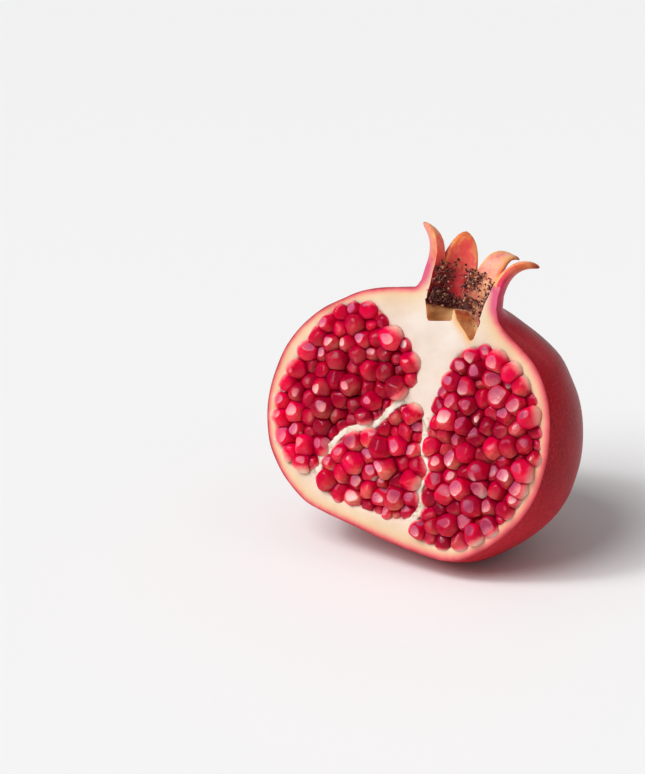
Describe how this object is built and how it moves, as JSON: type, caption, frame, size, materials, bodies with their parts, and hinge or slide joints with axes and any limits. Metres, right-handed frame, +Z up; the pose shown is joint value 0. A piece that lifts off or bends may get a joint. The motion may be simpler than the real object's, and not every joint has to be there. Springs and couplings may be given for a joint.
{
  "type": "pomegranate (cut half)",
  "caption": "Pomegranate half cut lengthwise through its crown, with seed chambers full of arils on the open face, resting on its rounded side.",
  "frame": {"origin": "centre of the small flat spot on the rounded side that the half rests on", "axes": "+Z up; the cut face looks towards -Y and 18 degrees upwards; +X to the right seen from the front; the crown points up, leaning right and back"},
  "size_m": [0.0986, 0.069, 0.0999],
  "materials": {
    "peel": "waxy leathery skin, matt cream pith where it is cut",
    "arils": "wet and glossy, juicy red",
    "stamens": "dry and matt"
  },
  "bodies": {
    "root": {"peel": "peel", "arils_left": "arils", "arils_middle": "arils", "arils_right": "arils", "stamens": "stamens"}
  },
  "joints": []
}
